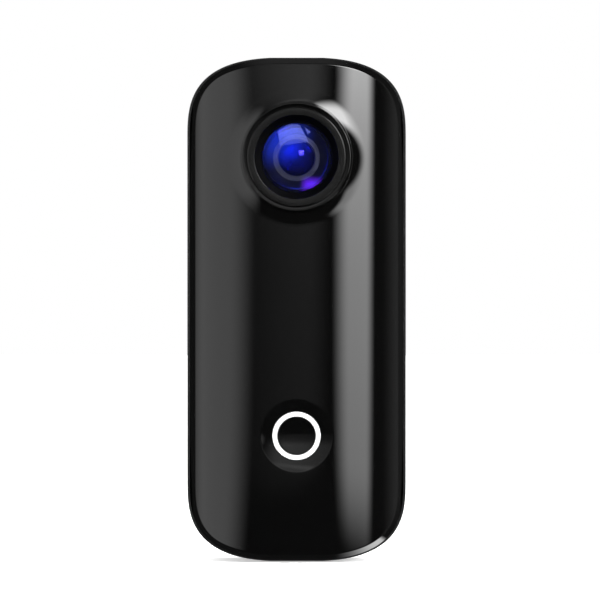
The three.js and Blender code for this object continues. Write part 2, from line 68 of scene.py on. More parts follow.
SHELL_LOW, SHELL_HIGH = box_mm("rear_shell")
COVER_LOW, COVER_HIGH = box_mm("front_cover")
PAD_LOW, PAD_HIGH = box_mm("rear_pad")
DOOR_LOW, DOOR_HIGH = box_mm("port_door")
MODE_LOW, MODE_HIGH = box_mm("mode_button")
USB_LOW, USB_HIGH = box_mm("usb_port")
BEZEL_LOW, BEZEL_HIGH = box_mm("lens_bezel")
LENS_Z = middle("lens_bezel").z
BUTTON_Z = middle("light_ring").z
HEIGHT = SHELL_HIGH.z
HALF_WIDTH = SHELL_HIGH.x
PART_Y = SHELL_LOW.y
SHELL_BACK_Y = SHELL_HIGH.y
COVER_INSET = HALF_WIDTH - COVER_HIGH.x

CAP_LENGTH = 9.8
CAP_POWER = 2.89
FLAT_ANGLE = math.radians(82.5)  # where the outline's superellipse gives way to its short flat
CROWN_RADIUS = 16
CROWN_Y = -8.9
END_SAG = 0.9
BEVEL_WIDTH = 0.67
BEVEL_DEPTH = 1.0
EDGE_ROUND = 0.1
BACK_ROUND = 3
COVER_WALL = 1.5
SHELL_WALL = 1.8
FLOOR_Y = 8.3
GROOVE_OUTER = 0.8  # insets of the gasket's groove
GROOVE_INNER = 1.45
PAD_INSET = 3.6

CASE_POST = 1.6  # radii of the screws' posts, threads, tubes, heads and shanks
BOARD_POST = 1.5
CASE_THREAD = 0.68
BOARD_THREAD = 0.58
SCREW_TUBE = 2.1
SCREW_HEAD = 1.4
SCREW_SHANK = 0.8
MAGNET_ROOM = 4.6

DOOR_THICKNESS = 1.24
DOOR_GAP = 0.15
USB_WALL = 0.3

DISH_RADIUS = 4.37
DISH_DEPTH = 1.35
DISH_MARGIN = 0.8
RING_INNER = 2.33
RING_OUTER = 2.9
RING_GAP = 0.05
CAP_GAP = 0.06
COLLAR_OUTER = 5.5
COLLAR_INNER = 4.7

BOSS_RADIUS = 6.52
FLARE_INNER = 6.75
FLARE_OUTER = 8.41
FLARE_RISE = 0.332
FLARE_POWER = 2
BEZEL_ROOM = 6.0
BARREL_ROOM = 5.1

SIDES = 128  # round the lens parts and the record button
SIDE_STEPS = 15  # from the middle of a side to where the end's curve begins
CAP_STEPS = 40
FLAT_STEPS = 5


# ---- Meshes ----

def full_turn(sides):
    """The angles of evenly spaced points round a circle."""
    return [math.tau * i / sides for i in range(sides)]


def lathe(profile, z, sides=SIDES):
    """Rings about a line along Y at a height, from (radius, y) corners."""
    turn = full_turn(sides)
    return [[Vector((r * math.cos(a), y, z + r * math.sin(a))) for a in turn] for r, y in profile]


def loft(rings, closed=False):
    """Vertices and faces of a skin through rings. Its ends are fans, unless it closes on itself."""
    count = len(rings[0])
    points = [p for ring in rings for p in ring]
    faces = []
    last = len(rings) if closed else len(rings) - 1
    for r in range(last):
        a, b = r * count, ((r + 1) % len(rings)) * count
        faces += [(a + i, a + (i + 1) % count, b + (i + 1) % count, b + i) for i in range(count)]
    if not closed:
        for start in (0, (len(rings) - 1) * count):
            points.append(sum(points[start:start + count], Vector()) / count)
            hub = len(points) - 1
            faces += [(start + i, start + (i + 1) % count, hub) for i in range(count)]
    return points, faces


def solid(name, points, faces):
    """A closed mesh object from points in millimetres, welded and with its faces turned outwards."""
    mesh = bpy.data.meshes.new(name)
    mesh.from_pydata([p * MM for p in points], [], faces)
    work = bmesh.new()
    work.from_mesh(mesh)
    bmesh.ops.remove_doubles(work, verts=work.verts, dist=2e-7)
    bmesh.ops.recalc_face_normals(work, faces=work.faces)
    work.to_mesh(mesh)
    work.free()
    piece = bpy.data.objects.new(name, mesh)
    bpy.context.scene.collection.objects.link(piece)
    return piece


def turned(name, profile, closed=True):
    """A lens part turned about the lens's axis. A profile that isn't closed starts and ends on the axis."""
    return solid(name, *loft(lathe(profile, LENS_Z), closed))


def along_x(ring, x):
    """A ring of (y, z) points, placed at x."""
    return [Vector((x, y, z)) for y, z in ring]


def rounded_ring(low, high, radius, steps=8):
    """A rectangle with round corners in the YZ plane, as (y, z) points."""
    corners = (
        (high[0] - radius, high[1] - radius, 0),
        (low[0] + radius, high[1] - radius, 1),
        (low[0] + radius, low[1] + radius, 2),
        (high[0] - radius, low[1] + radius, 3),
    )
    ring = []
    for y, z, quarter in corners:
        for i in range(steps + 1):
            a = (quarter + i / steps) * math.pi / 2
            ring.append((y + radius * math.cos(a), z + radius * math.sin(a)))
    return ring


def plate_x(name, x0, x1, low, high, radius):
    """A plate across X with round corners, between (y, z) corners."""
    ring = rounded_ring(low, high, radius)
    return solid(name, *loft([along_x(ring, x0), along_x(ring, x1)]))


def block(name, low, high):
    """A box with all but sharp corners."""
    return plate_x(name, low[0], high[0], low[1:], high[1:], 0.02)


def rod_z(name, radius, z0, z1, x, y, sides=48):
    ring = [(x + radius * math.cos(a), y + radius * math.sin(a)) for a in full_turn(sides)]
    return solid(name, *loft([[Vector((px, py, z)) for px, py in ring] for z in (z0, z1)]))


def rod_x(name, radius, x0, x1, y, z):
    ring = [(y + radius * math.cos(a), z + radius * math.sin(a)) for a in full_turn(24)]
    return solid(name, *loft([along_x(ring, x0), along_x(ring, x1)]))


def combine(base, tools, operation):
    """Joins tools to the base, cuts them from it or keeps what they share, then deletes them."""
    for tool in tools:
        step = base.modifiers.new("combine", "BOOLEAN")
        step.operation = operation
        step.solver = "MANIFOLD"
        step.object = tool
        graph = bpy.context.evaluated_depsgraph_get()
        made = bpy.data.meshes.new_from_object(base.evaluated_get(graph))
        base.modifiers.clear()
        old, base.data = base.data, made
        made.name = base.name
        bpy.data.meshes.remove(old)
        bpy.data.objects.remove(tool, do_unlink=True)
    return base


def shade(piece, angle=35):
    """Smooth shading that stays crisp at edges sharper than the angle."""
    piece.data.shade_smooth()
    piece.data.set_sharp_from_angle(angle=math.radians(angle))
    return piece


def even_shade(piece, angle=30):
    """The same for flat-sided pieces: large faces keep their own normal up to their soft edges."""
    shade(piece, angle)
    even = piece.modifiers.new("even_normals", "WEIGHTED_NORMAL")
    even.keep_sharp = True
    even.weight = 100
    return piece


# ---- The body's outline and crown ----

def cap_point(angle, inset):
    """A point of the top right quarter of the outline, moved inwards along its normal."""
    x = HALF_WIDTH * math.cos(angle) ** (2 / CAP_POWER)
    rise = CAP_LENGTH * math.sin(angle) ** (2 / CAP_POWER)
    across = x ** (CAP_POWER - 1) / HALF_WIDTH ** CAP_POWER
    up = rise ** (CAP_POWER - 1) / CAP_LENGTH ** CAP_POWER
    size = math.hypot(across, up)
    return x - inset * across / size, rise - inset * up / size


REACH = cap_point(FLAT_ANGLE, 0)[1]


def outline(inset):
    """The front view's outline as (x, z) points, anticlockwise from the middle of the right side."""
    quarter = []
    for i in range(SIDE_STEPS):
        quarter.append((HALF_WIDTH - inset, (HEIGHT / 2 - REACH) * i / SIDE_STEPS))
    for i in range(CAP_STEPS + 1):
        x, rise = cap_point(FLAT_ANGLE * (i / CAP_STEPS) ** 1.35, inset)
        quarter.append((x, HEIGHT / 2 - REACH + rise))
    end_x, end_z = quarter[-1]
    quarter += [(end_x * (1 - i / FLAT_STEPS), end_z) for i in range(1, FLAT_STEPS + 1)]
    half = quarter + [(-x, z) for x, z in reversed(quarter[:-1])]
    ring = half + [(x, -z) for x, z in reversed(half[1:-1])]
    return [(x, HEIGHT / 2 + z) for x, z in ring]


def crown(x, z):
    """The y of the panel without its dish and its boss: round across, and falling away to both ends."""
    across = CROWN_RADIUS - math.sqrt(CROWN_RADIUS ** 2 - x ** 2)
    return CROWN_Y + across + END_SAG * abs(z / (HEIGHT / 2) - 1) ** 3


def dish(radius):
    """How far the dish round the record button lies below the crown, with a soft rim."""
    bowl = DISH_DEPTH * (1 - (radius / DISH_RADIUS) ** 2)
    return (bowl + math.hypot(bowl, 0.015)) / 2


def flare(radius):
    """How far the panel rises towards the lens boss."""
    share = (FLARE_OUTER - radius) / (FLARE_OUTER - FLARE_INNER)
    return FLARE_RISE * min(max(share, 0), 1) ** FLARE_POWER


def front(x, z):
    """The y of the cover's front."""
    return crown(x, z) + dish(math.hypot(x, z - BUTTON_Z)) - flare(math.hypot(x, z - LENS_Z))


def front_normal(x, z):
    step = 1e-4
    slope_x = (front(x + step, z) - front(x - step, z)) / (2 * step)
    slope_z = (front(x, z + step) - front(x, z - step)) / (2 * step)
    return Vector((slope_x, -1, slope_z)).normalized()


def on_front(x, z, sink=0.0):
    return Vector((x, front(x, z) + sink, z))


def circle(radius, z):
    return [(radius * math.cos(a), z + radius * math.sin(a)) for a in full_turn(SIDES)]


def flat_ring(inset, y):
    return [Vector((x, y, z)) for x, z in outline(inset)]


def outline_form(name, steps):
    """A closed solid through the outline at (inset, y) steps."""
    return solid(name, *loft([flat_ring(inset, y) for inset, y in steps]))


def bend(start, corner, end, steps=5):
    """Rings that round off a corner between two rings, both ends included."""
    rings = []
    for i in range(steps + 1):
        t = i / steps
        weights = ((1 - t) ** 2, 2 * t * (1 - t), t ** 2)
        rings.append([a * weights[0] + b * weights[1] + c * weights[2]
                      for a, b, c in zip(start, corner, end)])
    return rings


def blend_rings(one, other, share):
    return [a.lerp(b, share) for a, b in zip(one, other)]


# ---- Front cover ----

def bevel_rings():
    """Rings from the panel's edge over the polished bevel to the back of the cover's wall."""
    edge = [on_front(x, z) for x, z in outline(COVER_INSET + BEVEL_WIDTH)]
    start = [on_front(x, z) for x, z in outline(COVER_INSET + BEVEL_WIDTH + EDGE_ROUND)]
    shoulder = [Vector((x, e.y + BEVEL_DEPTH, z))
                for (x, z), e in zip(outline(COVER_INSET), edge)]
    foot = [Vector((p.x, p.y + EDGE_ROUND, p.z)) for p in shoulder]
    rings = bend(start, edge, blend_rings(edge, shoulder, 0.1))
    rings += [blend_rings(edge, shoulder, share) for share in (0.13, 0.5, 0.87)]
    rings += bend(blend_rings(edge, shoulder, 0.9), shoulder, foot)
    rings.append([Vector((p.x, p.y + 0.03, p.z)) for p in foot])
    back = PART_Y - EDGE_ROUND
    rings += [flat_ring(COVER_INSET, back - 0.03), flat_ring(COVER_INSET, back)]
    rings.append(flat_ring(COVER_INSET + EDGE_ROUND, PART_Y))
    return rings


def holds(polygon, x, z, margin=1e-5):
    """True if a point is inside a convex anticlockwise polygon."""
    sides = zip(polygon, polygon[1:] + polygon[:1])
    return all((bx - ax) * (z - az) - (bz - az) * (x - ax) > margin for (ax, az), (bx, bz) in sides)


def panel_sheet():
    """The crowned panel between its edge, the flare round the lens and the button's dish."""
    spacing = 0.8
    lens_room, dish_room = FLARE_OUTER, DISH_RADIUS + DISH_MARGIN
    edge = outline(COVER_INSET + BEVEL_WIDTH + EDGE_ROUND)
    limit = outline(COVER_INSET + BEVEL_WIDTH + EDGE_ROUND + spacing * 0.6)
    loops = [edge, circle(lens_room, LENS_Z), circle(dish_room, BUTTON_Z)]
    points, edges = [], []
    for loop in loops:
        start, count = len(points), len(loop)
        points += loop
        edges += [(start + i, start + (i + 1) % count) for i in range(count)]
    for row in range(int(HEIGHT / spacing)):
        for column in range(-int(HALF_WIDTH / spacing), int(HALF_WIDTH / spacing) + 1):
            x, z = (column + 0.5 * (row % 2)) * spacing, row * spacing
            clear = (math.hypot(x, z - LENS_Z) > lens_room + spacing * 0.5
                     and math.hypot(x, z - BUTTON_Z) > dish_room + spacing * 0.5)
            if clear and holds(limit, x, z):
                points.append((x, z))
    flat = [Vector(p) for p in points]
    verts, _, faces, *_ = delaunay_2d_cdt(flat, edges, [], 0, 1e-6)
    kept = []
    for face in faces:
        x = sum(verts[i].x for i in face) / len(face)
        z = sum(verts[i].y for i in face) / len(face)
        if holds(edge, x, z, 1e-4) and not any(holds(hole, x, z) for hole in loops[1:]):
            kept.append(tuple(face))
    return [on_front(v.x, v.y) for v in verts], kept


def dish_rings():
    """Rings from the panel down into the dish, close together at its rim."""
    outside, inside = 6, 30
    radii = [DISH_RADIUS + DISH_MARGIN * (1 - i / outside) for i in range(outside)]
    radii += [DISH_RADIUS + step for step in (0.04, 0.015, -0.015, -0.04)]
    radii += [DISH_RADIUS * (1 - i / inside) for i in range(1, inside)]
    return [[on_front(x, z) for x, z in circle(r, BUTTON_Z)] for r in radii]


def boss_rings():
    """The flare, then the boss's steep wall, its rounded lip and the groove round the bezel."""
    steps = 26
    lip_flat, lip_inner, groove_inner = 6.4, 6.3, 5.9
    span = FLARE_OUTER - FLARE_INNER
    radii = [FLARE_INNER + span * (1 - i / steps) ** 1.3 for i in range(steps + 1)]
    rings = [[on_front(x, z) for x, z in circle(r, LENS_Z)] for r in radii]
    foot = rings[-1]
    lip_y = COVER_LOW.y

    def level(radius, y):
        return lathe([(radius, y)], LENS_Z)[0]

    wall_top = level(BOSS_RADIUS, lip_y + 0.14)
    wall_foot = [a.lerp(b, 0.3) for a, b in zip(foot, level(BOSS_RADIUS + 0.02, lip_y))]
    corner = []
    for low, high in zip(foot, wall_foot):
        corner.append(Vector((high.x, low.y - 0.2, high.z)))
    rings += bend(foot, corner, wall_foot, 6)[1:]
    rings.append(blend_rings(wall_foot, wall_top, 0.9))
    rings += bend(wall_top, level(BOSS_RADIUS, lip_y), level(BOSS_RADIUS - 0.1, lip_y), 4)
    rings += bend(level(lip_flat, lip_y), level(lip_inner, lip_y), level(lip_inner, lip_y + 0.1), 4)
    rings.append(level(lip_inner, lip_y + 0.3))
    rings.append(level(groove_inner, lip_y + 0.35))
    return rings


def cover_form():
    """The whole outer form of the front cover, as one closed mesh."""
    points, faces = panel_sheet()
    for rings in (bevel_rings(), dish_rings(), boss_rings()):
        offset = len(points)
        more, links = loft(rings)
        count = len(rings[0])
        # The first ring meets the panel, so the fan that closes it off is left out.
        links = links[:-2 * count] + links[-count:]
        hub = len(more) - 2
        more = more[:hub] + [more[-1]]
        links = [tuple(i if i < hub else hub for i in link) for link in links]
        points += more
        faces += [tuple(i + offset for i in link) for link in links]
    return solid("front_cover_form", points, faces)


def cut_rod(z, radius, y0, y1, x=0.0, sides=SIDES):
    """A round cutter or post along Y."""
    rings = lathe([(radius, y0), (radius, y1)], z, sides)
    return solid("rod", *loft([[Vector((p.x + x, p.y, p.z)) for p in ring] for ring in rings]))


def inner_crown(name, inset, sink, back_y):
    """A solid that follows the crown from behind."""
    edge = outline(inset + BEVEL_WIDTH)
    spine = (HEIGHT * 0.3, HEIGHT * 0.7)
    top = [Vector((x, crown(*e) + sink + BEVEL_DEPTH, z))
           for (x, z), e in zip(outline(inset), edge)]
    rings = [flat_ring(inset, back_y), top]
    for scale in (1, 0.8, 0.6, 0.4, 0.2):
        ring = []
        for x, z in edge:
            core = min(max(z, spine[0]), spine[1])
            height = core + (z - core) * scale
            ring.append(Vector((x * scale, crown(x * scale, height) + sink, height)))
        rings.append(ring)
    return solid(name, *loft(rings))


def groove_tool():
    """The gasket's groove, half in the cover and half in the shell."""
    outer = outline_form("groove", [(GROOVE_OUTER, PART_Y - 0.4), (GROOVE_OUTER, PART_Y + 0.4)])
    core = outline_form("groove_core", [(GROOVE_INNER, PART_Y - 1), (GROOVE_INNER, PART_Y + 1)])
    return combine(outer, [core], "DIFFERENCE")


def screw_places(prefix, count):
    return [middle(f"{prefix}_{i + 1}") for i in range(count)]


def front_cover():
    """The cover with its hollow, collar, posts and holes."""
    cover = cover_form()
    cover.name = "cover_visual"
    hollow = inner_crown("hollow", COVER_INSET + 1.7, COVER_WALL, PART_Y + 1)
    combine(cover, [hollow], "DIFFERENCE")
    case_screws = screw_places("shell_screw", 4)
    board_screws = screw_places("board_screw", 3)
    inside = [cut_rod(BUTTON_Z, COLLAR_OUTER, -7.3, -5)]
    inside += [cut_rod(p.z, CASE_POST, -8.6, 0.3, p.x, 32) for p in case_screws]
    inside += [cut_rod(p.z, BOARD_POST, -7, -1.1, p.x, 32) for p in board_screws]
    inside.append(cut_rod(LENS_Z, 8.2, -7.6, -6.8))
    room = inner_crown("room", COVER_INSET + 0.5, 0.5, 1)
    posts = combine(inside[0], inside[1:], "UNION")
    combine(posts, [room], "INTERSECT")
    combine(cover, [posts], "UNION")
    tools = [
        cut_rod(LENS_Z, BEZEL_ROOM, -12, -8.4),
        cut_rod(LENS_Z, BARREL_ROOM, -12, -6),
        cut_rod(BUTTON_Z, RING_OUTER + RING_GAP, -12, -6.9),
        cut_rod(BUTTON_Z, COLLAR_INNER, -7.05, -4),
        groove_tool(),
    ]
    tools += [cut_rod(p.z, CASE_THREAD, -4.2, 1, p.x, 24) for p in case_screws]
    tools += [cut_rod(p.z, BOARD_THREAD, -3.9, 0, p.x, 24) for p in board_screws]
    combine(cover, tools, "DIFFERENCE")
    shade(cover, 40)
    polish_front(cover)
    return cover


def polish_front(cover):
    """Gives every face on the panel, flare and dish the exact normal of the surface there."""
    mesh = cover.data
    places = [v.co / MM for v in mesh.vertices]
    touching = [p.z > 0.5 and abs(p.y - front(p.x, p.z)) < 2e-3 for p in places]
    normals = [Vector((0, 0, 0))] * len(mesh.loops)
    for face in mesh.polygons:
        if face.normal.y > -0.2 or not all(touching[i] for i in face.vertices):
            continue
        for loop in face.loop_indices:
            place = places[mesh.loops[loop].vertex_index]
            normals[loop] = front_normal(place.x, place.z)
    mesh.normals_split_custom_set(normals)


# ---- Rear shell and pad ----

def shell_form():
    """The outer form of the rear shell, with a round edge at its back."""
    side_end = SHELL_BACK_Y - BACK_ROUND
    steps = [(0.08, PART_Y), (0, PART_Y + 0.08), (0, PART_Y + 0.12), (0, side_end - 0.05)]
    turns = 16
    for i in range(turns + 1):
        angle = math.pi / 2 * i / turns
        inset = BACK_ROUND * (1 - math.cos(angle))
        steps.append((inset, SHELL_BACK_Y - BACK_ROUND * (1 - math.sin(angle))))
    steps.append((BACK_ROUND + 0.05, SHELL_BACK_Y))
    return outline_form("shell_form", steps)


def door_pocket():
    """Cutters for the port door, its pin, its seal and the two ports."""
    pin = middle("door_pin")
    outside = -HALF_WIDTH - 1
    floor = -HALF_WIDTH + DOOR_THICKNESS + DOOR_GAP
    bottom, top = DOOR_LOW.z - DOOR_GAP, DOOR_HIGH.z + DOOR_GAP
    seal = block("seal_room", (floor - 0.5, -1.15, 9.25), (-11.35, 4.55, 34.35))
    seal_core = block("seal_core", (floor - 1, -0.25, 10.25), (-11, 3.65, 33.35))
    return [
        plate_x("pocket", outside, floor, (DOOR_LOW.y - DOOR_GAP, bottom), (pin.y, top), 0.3),
        rod_z("pocket_back", 1, bottom, top, pin.x, pin.y),
        rod_z("pin_hole", 0.34, DOOR_LOW.z - 1.1, DOOR_HIGH.z + 1.1, pin.x, pin.y, 24),
        combine(seal, [seal_core], "DIFFERENCE"),
        plate_x("usb_hole", floor - 1, -10, (USB_LOW.y - 0.1, USB_LOW.z - 0.1),
                (USB_HIGH.y + 0.1, USB_HIGH.z + 0.1), 1.5),
        block("card_hole", (floor - 1, 0.1, 21.7), (-10, 1.4, 33.1)),
    ]


def rear_shell():
    """The shell with its hollow, screw tubes, ports and holes."""
    shell = shell_form()
    shell.name = "shell_visual"
    hollow = outline_form("shell_hollow", [
        (SHELL_WALL, PART_Y - 1), (SHELL_WALL, SHELL_BACK_Y - BACK_ROUND - 0.5),
        (SHELL_WALL + 1.2, FLOOR_Y)])
    screws = screw_places("shell_screw", 4)
    combine(shell, [hollow], "DIFFERENCE")
    added = [block("port_frame", (-12.2, PART_Y + 0.6, 8.3), (-10.95, 7.6, 35.4))]
    added += [cut_rod(p.z, SCREW_TUBE, 0.4, FLOOR_Y + 0.2, p.x, 48) for p in screws]
    combine(shell, added, "UNION")
    mode = middle("mode_button")
    tools = [groove_tool(), *door_pocket()]
    for p in screws:
        tools.append(cut_rod(p.z, SCREW_HEAD, 1.2, 11, p.x, 48))
        tools.append(cut_rod(p.z, SCREW_SHANK, 0, 2, p.x, 24))
    for magnet in ("magnet_lower", "magnet_upper"):
        tools.append(cut_rod(middle(magnet).z, MAGNET_ROOM, 8.95, 11))
    tools.append(outline_form("pad_recess", [(3.5, 10.25), (3.5, 12)]))
    tools.append(plate_x("mode_hole", 10, 14, (mode.y - 1.8, mode.z - 4.5),
                         (mode.y + 1.8, mode.z + 4.5), 1.75))
    tools.append(rod_z("mic_hole", 0.4, 58, 62, 0, middle("mic_mesh").y))
    tools += [rod_x("buzzer_hole", 0.35, 10, 14, 5, z) for z in (40, 42, 44)]
    combine(shell, tools, "DIFFERENCE")
    return even_shade(shell)


def rear_pad():
    steps = [(PAD_INSET, PAD_LOW.y)]
    for inset, drop in ((0, 0.15), (0.01, 0.12), (0.05, 0.05), (0.15, 0), (0.25, 0)):
        steps.append((PAD_INSET + inset, PAD_HIGH.y - drop))
    return shade(outline_form("pad_visual", steps), 30)


# ---- Record button ----

def dished_part(name, radii, back, closed):
    """A part whose front lies in the button's dish.

    Its front goes through (radius, sink) steps and its back through (radius, y) steps.
    """
    rings = [[on_front(x, z, sink) for x, z in circle(r, BUTTON_Z)] for r, sink in radii]
    rings += lathe(back, BUTTON_Z)
    return shade(solid(name, *loft(rings, closed)), 40)


def record_button():
    edge = RING_INNER - CAP_GAP
    front_steps = [(edge * i / 14, 0.0) for i in range(1, 14)]
    front_steps += [(edge - 0.05, 0.0), (edge - 0.02, 0.015), (edge, 0.06)]
    back = [(edge, -6.2), (1.0, -6.2), (1.0, -3.45)]
    return dished_part("button_visual", front_steps, back, False)


def light_ring():
    front_steps = [(RING_INNER, 0.06), (RING_INNER + 0.02, 0.015), (RING_INNER + 0.05, 0.0)]
    front_steps += [((RING_INNER + RING_OUTER) / 2, 0.0)]
    front_steps += [(RING_OUTER - 0.05, 0.0), (RING_OUTER - 0.02, 0.015), (RING_OUTER, 0.06)]
    back = [(RING_OUTER, -6.75), (3.7, -6.75), (3.7, -6.2), (RING_INNER, -6.2)]
    return dished_part("ring_visual", front_steps, back, True)


# ---- Lens ----

def lens_bezel():
    front_y = BEZEL_LOW.y
    return shade(turned("bezel_visual", [
        (5.05, front_y + 0.08), (5.07, front_y + 0.03), (5.12, front_y), (5.76, front_y),
        (5.81, front_y + 0.015), (5.9, front_y + 0.1), (5.935, front_y + 0.15), (5.94, front_y + 0.2),
        (5.94, BEZEL_HIGH.y), (5.05, BEZEL_HIGH.y)]), 40)


def lens_hood():
    """A black funnel with fine steps that stop stray light."""
    mouth, throat, front_y, throat_y, back_y = 5.0, 4.35, -10.5, -9.3, -8.5
    profile = [(mouth, front_y)]
    steps = 5
    for i in range(steps):
        y = front_y + (throat_y - front_y) * i / steps
        radius = mouth - (mouth - throat) * i / steps
        profile += [(radius - 0.04, y + 0.02), (radius - 0.1, y + 0.2)]
    profile += [(throat, throat_y), (throat, back_y), (mouth, back_y)]
    return shade(turned("hood_visual", profile), 30)


def dome(name, radius, front_y, rise, edge_y, back_y, hollow):
    """A glass with a domed front and a back that may be hollowed."""
    steps = 20
    profile = [(radius * i / steps, front_y + rise * (i / steps) ** 2) for i in range(steps + 1)]
    profile.append((radius, edge_y))
    back = [(radius * 0.9 * i / steps, back_y - hollow * (1 - (i / steps) ** 2)) for i in range(steps + 1)]
    return shade(turned(name, profile + back[::-1], False), 40)


def lens_spacer():
    """The dark funnel in front of the second glass."""
    return shade(turned("spacer_visual", [
        (3.85, -7.85), (3.85, -5), (2.23, -5), (2.23, -6.22), (2.26, -6.3), (2.8, -6.3),
        (2.86, -6.33), (3.1, -6.72), (3.35, -7.12), (3.6, -7.52), (3.82, -7.9)]), 25)


def aperture_ring():
    return shade(turned("aperture_visual", [
        (0.92, -4.9), (0.94, -4.93), (2.5, -4.93), (2.55, -4.88), (2.55, -4.65), (0.97, -4.65)]), 30)


def rear_lens():
    """The small glass whose round nose stands in the aperture."""
    nose = [(0.85 * i / 12, -5.25 + 0.42 * (i / 12) ** 2) for i in range(13)]
    body = [(0.88, -4.62), (2.0, -4.35), (2.5, -4.0), (2.5, -3.0), (2.25, -2.7), (0.0, -2.8)]
    return shade(turned("rear_lens_visual", nose + body, False), 40)


# ---- Side parts ----

def mode_button():
    """The key with its soft edge, its flange inside the shell and the stem that reaches the switch."""
    centre = middle("mode_button")
    half_depth, half_height, corner = 1.65, 4.35, 1.6
    edge_steps = ((0, 1.94), (0, 0.42), (0.02, 0.3), (0.08, 0.18), (0.18, 0.09), (0.35, 0.04),
                  (0.6, 0.02), (1.0, 0.0))
    rings = []
    for inset, drop in edge_steps:
        ring = rounded_ring((centre.y - half_depth + inset, centre.z - half_height + inset),
                            (centre.y + half_depth - inset, centre.z + half_height - inset),
                            corner - inset, 12)
        rings.append(along_x(ring, MODE_HIGH.x - drop))
    key = solid("mode_visual", *loft(rings))
    flange = plate_x("flange", 10.85, 11.35, (centre.y - 2.2, centre.z - 5),
                     (centre.y + 2.2, centre.z + 5), 1)
    stem = block("stem", (MODE_LOW.x, 0.3, centre.z - 1), (11, 1.4, centre.z + 1))
    combine(key, [flange, stem], "UNION")
    return even_shade(key)


def port_door():
    """The door, flush with the shell, with a round back about its pin and a slot for a fingernail."""
    pin = middle("door_pin")
    corner = 0.9
    rings = []
    for inset, drop in ((0.12, 0.0), (0.05, 0.03), (0.0, 0.12), (0.0, DOOR_THICKNESS)):
        ring = rounded_ring((DOOR_LOW.y + inset, DOOR_LOW.z + inset),
                            (pin.y + 1 - inset, DOOR_HIGH.z - inset), corner - inset)
        rings.append(along_x(ring, -HALF_WIDTH + drop))
    door = solid("door_visual", *loft(rings))
    keep = block("keep", (-20, -10, 0), (-5, pin.y, HEIGHT))
    combine(door, [keep], "INTERSECT")
    nose = rod_z("nose", 0.62, DOOR_LOW.z, DOOR_HIGH.z, pin.x, pin.y)
    combine(door, [nose], "UNION")
    combine(door, [shell_form()], "INTERSECT")
    hole = rod_z("hole", 0.36, 0, HEIGHT, pin.x, pin.y, 24)
    nail = plate_x("nail", -14, -12.85, (-0.7, 18.3), (0.2, 25.3), 0.44)
    combine(door, [hole, nail], "DIFFERENCE")
    return even_shade(door)


def usb_port():
    """The drawn steel shell of the port, with the contact tongue inside it."""
    mouth, end = USB_LOW.x, USB_HIGH.x
    low, high = (USB_LOW.y, USB_LOW.z), (USB_HIGH.y, USB_HIGH.z)
    outer = plate_x("usb_visual", mouth, end, low, high, 1.6)
    inner = plate_x("usb_bore", mouth - 1, end - 1.2, (low[0] + USB_WALL, low[1] + USB_WALL),
                    (high[0] - USB_WALL, high[1] - USB_WALL), 1.3)
    combine(outer, [inner], "DIFFERENCE")
    y = (low[0] + high[0]) / 2
    tongue = plate_x("tongue", mouth + 0.9, end - 1, (y - 0.35, low[1] + 1.2),
                     (y + 0.35, high[1] - 1.2), 0.12)
    combine(outer, [tongue], "UNION")
    return even_shade(outer)


# ---- Materials ----

class Shader:
    """A small helper that adds nodes to one material and links them."""

    def __init__(self, name):
        self.material = bpy.data.materials.new(name)
        self.material.use_nodes = True
        self.tree = self.material.node_tree
        self.body = self.tree.nodes["Principled BSDF"]
        self.place = self.add("ShaderNodeTexCoord").outputs["Object"]

    def add(self, kind, **values):
        node = self.tree.nodes.new(kind)
        for key, value in values.items():
            setattr(node, key, value)
        return node

    def link(self, source, target):
        self.tree.links.new(source, target)

    def noise(self, size_mm, detail=3.0):
        """Noise whose grain is about this size."""
        node = self.add("ShaderNodeTexNoise")
        node.inputs["Scale"].default_value = 1 / (size_mm * MM)
        node.inputs["Detail"].default_value = detail
        self.link(self.place, node.inputs["Vector"])
        return node.outputs["Fac"]

    def remap(self, source, low, high, to_low, to_high):
        node = self.add("ShaderNodeMapRange")
        for key, value in (("From Min", low), ("From Max", high), ("To Min", to_low), ("To Max", to_high)):
            node.inputs[key].default_value = value
        self.link(source, node.inputs["Value"])
        return node.outputs["Result"]

    def math(self, operation, one, other):
        node = self.add("ShaderNodeMath", operation=operation)
        for socket, value in zip(node.inputs, (one, other)):
            if isinstance(value, (int, float)):
                socket.default_value = value
            else:
                self.link(value, socket)
        return node.outputs["Value"]

    def mix(self, share, one, other):
        node = self.add("ShaderNodeMix", data_type="RGBA")
        for socket, value in zip((node.inputs[0], node.inputs[6], node.inputs[7]), (share, one, other)):
            if isinstance(value, tuple):
                socket.default_value = (*value, 1)
            elif isinstance(value, (int, float)):
                socket.default_value = value
            else:
                self.link(value, socket)
        return node.outputs[2]

    def edge_mask(self, radius_mm):
        """Near 1 on worn edges, 0 on flats."""
        soft = self.add("ShaderNodeBevel", samples=4)
        soft.inputs["Radius"].default_value = radius_mm * MM
        plain = self.add("ShaderNodeNewGeometry")
        dot = self.add("ShaderNodeVectorMath", operation="DOT_PRODUCT")
        self.link(soft.outputs["Normal"], dot.inputs[0])
        self.link(plain.outputs["Normal"], dot.inputs[1])
        return self.remap(dot.outputs["Value"], 0.995, 0.9, 0.0, 1.0)


